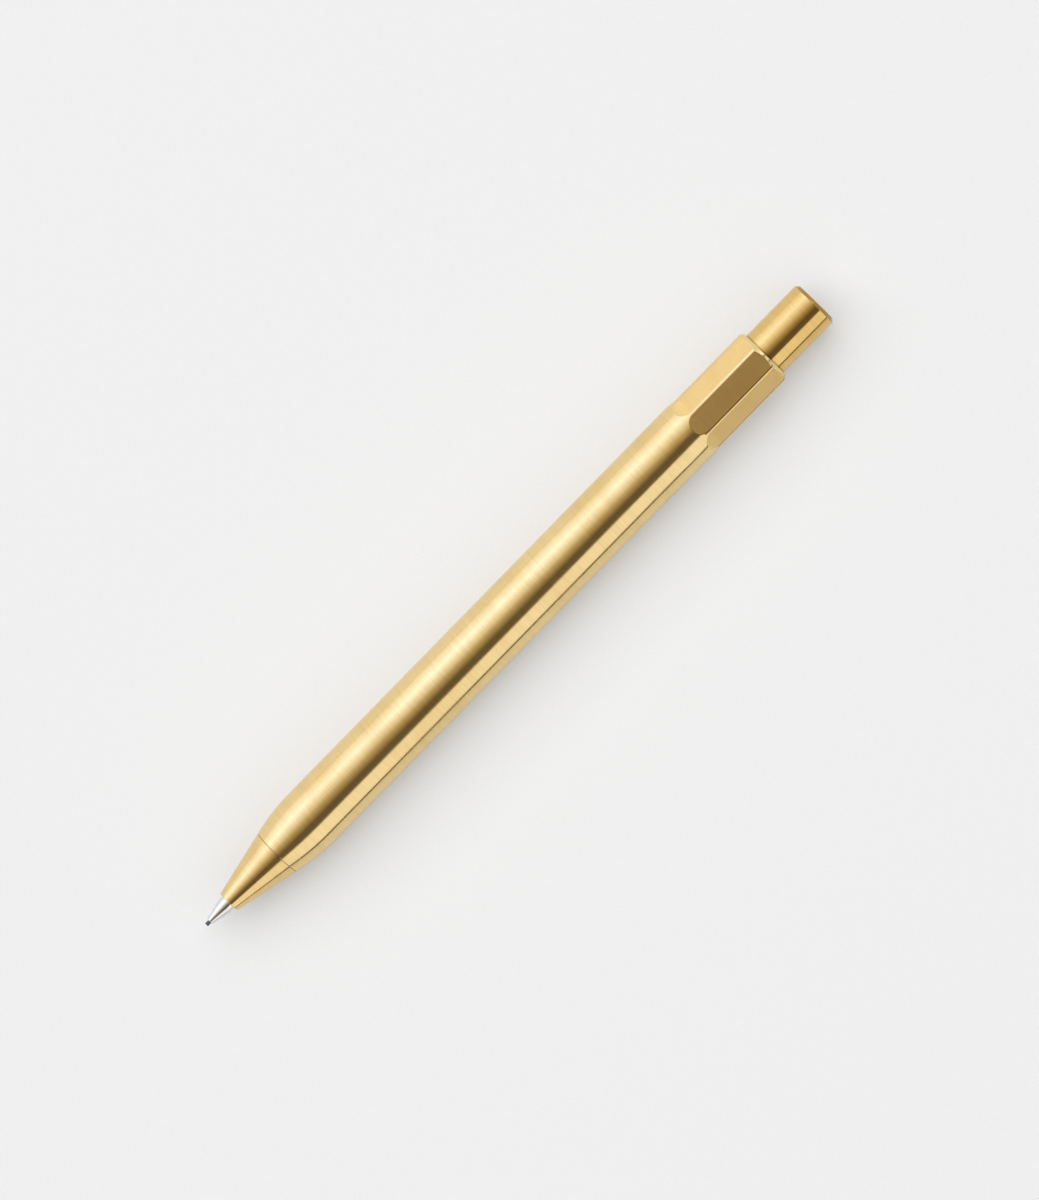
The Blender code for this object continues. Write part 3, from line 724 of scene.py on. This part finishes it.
def mark_flats(obj):
    """Gives the milled flats and their scoops the second material."""
    for face in obj.data.polygons:
        s = station(face.center.x)
        y, z = face.center.y, face.center.z - AXIS
        reach = math.hypot(y, z) / MM
        turn = math.degrees(math.atan2(y, z)) % FLAT_TURN
        off_centre = math.radians(min(turn, FLAT_TURN - turn))
        across = math.hypot(face.normal.y, face.normal.z)
        facing = (face.normal.y * y + face.normal.z * z) / max(across * math.hypot(y, z), 1e-12)
        tilted = math.degrees(math.acos(max(-1.0, min(1.0, facing))))
        on_flat = abs(tilted - math.degrees(off_centre)) < 1.2 or off_centre < math.radians(1.5)
        outer = 4.75 < reach < BARREL_RADIUS - 0.004
        if s > SCOOP_FRONT and outer and on_flat and face.normal.x < 0.3:
            face.material_index = 1


barrel = shown("barrel_shell", barrel_mesh(), "barrel", "barrel", "satin_brass", barrel_brass, flat_brass)
mark_flats(barrel)
shown("nose_shell", nose_mesh(), "nose", "nose_cone", "satin_brass", nose_brass)
shown("button_shell", button_mesh(), "button", "push_button", "satin_brass", button_brass)
shown("tip_shell", guide_tip_mesh(), "barrel", "guide_tip", "polished_steel", tip_steel)
o_ring = lathe("o_ring", torus_outline(17.4, 3.12, 0.36), 96)
shown("o_ring", o_ring, "nose_seal", "nose_o_ring", "black_rubber", rubber)
shown("retainer", retainer_mesh(), "barrel", "lead_retainer", "black_rubber", rubber)
shown("casing", casing_mesh(), "barrel", "clutch_casing", "inner_brass", inner_brass)
shown("jaw_ring", clutch_ring_mesh(), "clutch_ring", "clutch_ring", "spring_steel", ring_steel)
shown("carrier", carrier_mesh(), "plunger", "chuck_carrier", "inner_brass", inner_brass)
tube = ring_outline(31.55, 123.9, 1.25, 1.5, 0.05)
shown("magazine_tube", lathe("magazine_tube", tube, 72), "plunger", "lead_tube", "clear_tube", natural_tube)
shown("ferrule", ferrule_mesh(), "plunger", "eraser_ferrule", "inner_brass", inner_brass)
shown("eraser_plug", eraser_mesh(), "plunger", "eraser", "white_eraser", vinyl)
sleeve = ring_outline(122.05, 130.0, 1.95, 2.55, 0.12)
shown("grip_sleeve", lathe("grip_sleeve", sleeve, 72), "button", "button_grip_sleeve", "black_acetal", acetal)
shown("guide_bush", bush_mesh(), "barrel", "tube_guide_bush", "black_acetal", acetal)
shown("lead_in_use", lead_mesh("lead_in_use", 0.0), "lead", "lead", "graphite", graphite)
SPARE_START, SPARE_RADIUS = 62.0, 0.85
for i, degrees in enumerate((-51, 0, 51)):
    turn = math.radians(degrees)
    side, down = SPARE_RADIUS * math.sin(turn), SPARE_RADIUS * math.cos(turn)
    stick = lead_mesh(f"spare_{i + 1}", SPARE_START, side, down)
    shown(f"spare_{i + 1}", stick, "plunger", f"spare_lead_{i + 1}", "graphite", graphite)

spring = shown("wound_spring", spring_mesh(), "barrel", "return_spring", "spring_steel", spring_wire)
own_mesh(spring)

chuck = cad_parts["chuck"]
for slot in chuck.material_slots:
    slot.material = inner_brass


# ---------------------------------------------------------------- floor, light and camera

VIEW_TILT = math.radians(3.5)
TURN_IN_VIEW = math.radians(45.59)
CAMERA_HEIGHT, CAMERA_PAST_MIDDLE, CAMERA_LENS = 1.3, 0.060, 240.9
AIM_ALONG, AIM_ACROSS = 0.00266, 0.00057
FLOOR_SIZE = 4.0
FLOOR_GLOW, GLOW_MIRRORED_DARK, GLOW_MIRRORED_LIGHT = 0.27, 0.15, 0.29
LIGHT_SIZE, LIGHT_SIDE, LIGHT_HEIGHT = (12.0, 7.6), 3.6, 5.5


def make_floor():
    """A translucent table, lit from below as well as from the side, so that shadows on it stay pale.

    The metal mirrors less of that glow from the side that is turned away from the key light.
    """
    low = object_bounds()[0].z
    bm = bmesh.new()
    bmesh.ops.create_circle(bm, cap_ends=True, radius=FLOOR_SIZE, segments=96)
    bmesh.ops.translate(bm, verts=bm.verts, vec=(0, 0, low - 2e-5))
    obj = bpy.data.objects.new("floor", close_mesh("floor", bm))
    bpy.context.scene.collection.objects.link(obj)
    g = Graph(bpy.data.materials.new("floor_paper"))
    where = g.node("TexCoord", out=3)
    tooth = g.noise(where, 2500.0, 3.0)
    tone = g.ramp(tooth, (0.3, (0.49, 0.49, 0.49)), (0.7, (0.51, 0.51, 0.51)))
    g.put(g.shader.inputs["Base Color"], tone)
    g.shader.inputs["Roughness"].default_value = 0.9
    g.shader.inputs["Specular IOR Level"].default_value = 0.0
    g.shader.inputs["Emission Color"].default_value = (1.0, 1.0, 1.0, 1.0)
    side = g.node("SeparateXYZ", where, out=1)
    mirrored = g.remap(side, -0.03, 0.03, GLOW_MIRRORED_DARK, GLOW_MIRRORED_LIGHT)
    glossy = g.node("LightPath", out=3)
    less = g.math("MULTIPLY", glossy, g.math("SUBTRACT", mirrored, FLOOR_GLOW))
    strength = g.math("ADD", less, FLOOR_GLOW)
    g.put(g.shader.inputs["Emission Strength"], strength)
    g.material.cycles.emission_sampling = "NONE"
    paint(obj, g.material)


# The light that the metal mirrors: a broad soft box on one side, a dark gap overhead, a crisp panel on the other
# side and a dark line at the horizon. Each stop is an angle in degrees about the pencil from straight overhead,
# tilted with the camera, a brightness and a tint.
WHITE, COOL, WARM_ROOM = (1.0, 1.0, 1.0), (0.95, 1.05, 1.4), (1.0, 0.8, 0.5)
STUDIO = (
    (-86, 1.0, WHITE),
    (-50, 1.4, COOL),
    (-25, 0.9, WHITE),
    (-5, 0.5, WARM_ROOM),
    (15, 0.14, WARM_ROOM),
    (36, 0.14, WARM_ROOM),
    (40, 1.0, WHITE),
    (85, 1.0, WHITE),
    (87, 0.15, WARM_ROOM),
)


def make_surroundings():
    world = bpy.data.worlds.new("studio")
    bpy.context.scene.world = world
    g = Graph(world)
    g.nodes.clear()
    direction = g.node("TexCoord")
    y, z = (g.node("SeparateXYZ", direction, out=k) for k in (1, 2))
    across = g.math("ARCTAN2", g.math("MULTIPLY", y, -1.0), z)
    tilt = VIEW_TILT / math.pi
    place_on_ramp = g.math("ADD", g.math("DIVIDE", across, math.pi), 0.5)

    stops = ((a / 180 + 0.5 - tilt, tuple(level * part for part in tint)) for a, level, tint in STUDIO)
    seen_in_metal = g.node("Background", g.ramp(place_on_ramp, *stops), 1.0)
    plain = g.node("Background", (0.86, 0.86, 0.86, 1), 1.0)
    both = g.node("MixShader", g.node("LightPath"), seen_in_metal, plain)
    g.node("OutputWorld", both)
    world.cycles_visibility.diffuse = False


def add_light(name, side, watts):
    """A large panel high to one side, which lights the floor and isn't mirrored by the metal."""
    data = bpy.data.lights.new(name, "AREA")
    data.shape = "RECTANGLE"
    data.size, data.size_y = LIGHT_SIZE
    data.energy = watts
    obj = bpy.data.objects.new(name, data)
    bpy.context.scene.collection.objects.link(obj)
    obj.location = (0.0, side, LIGHT_HEIGHT)
    obj.rotation_euler = (-obj.location).to_track_quat("-Z", "Y").to_euler()
    obj.visible_camera = False
    obj.visible_glossy = False


def make_camera():
    """High above the pencil, a little past its middle, and turned so that the button is up and to the right."""
    along, across = Vector((1, 0, 0)), Vector((0, math.cos(VIEW_TILT), -math.sin(VIEW_TILT)))
    overhead = Vector((0, math.sin(VIEW_TILT), math.cos(VIEW_TILT)))
    target = Vector((AIM_ALONG, 0, AXIS)) + across * AIM_ACROSS
    away = along * CAMERA_PAST_MIDDLE + overhead * CAMERA_HEIGHT
    back = away.normalized()
    level = along * math.cos(TURN_IN_VIEW) - across * math.sin(TURN_IN_VIEW)
    right = (level - back * level.dot(back)).normalized()
    up = back.cross(right)
    data = bpy.data.cameras.new("camera")
    data.sensor_width, data.lens = 36.0, CAMERA_LENS
    data.clip_start, data.clip_end = 0.01, 100.0
    camera = bpy.data.objects.new("camera", data)
    bpy.context.scene.collection.objects.link(camera)
    camera.matrix_world = Matrix.Translation(target + away) @ Matrix((right, up, back)).transposed().to_4x4()
    bpy.context.scene.camera = camera


make_floor()
make_surroundings()
add_light("key", LIGHT_SIDE, 790.0)
add_light("fill", -LIGHT_SIDE, 275.0)
make_camera()
bpy.context.scene.view_settings.view_transform = "Standard"
bpy.context.scene.view_settings.look = "None"
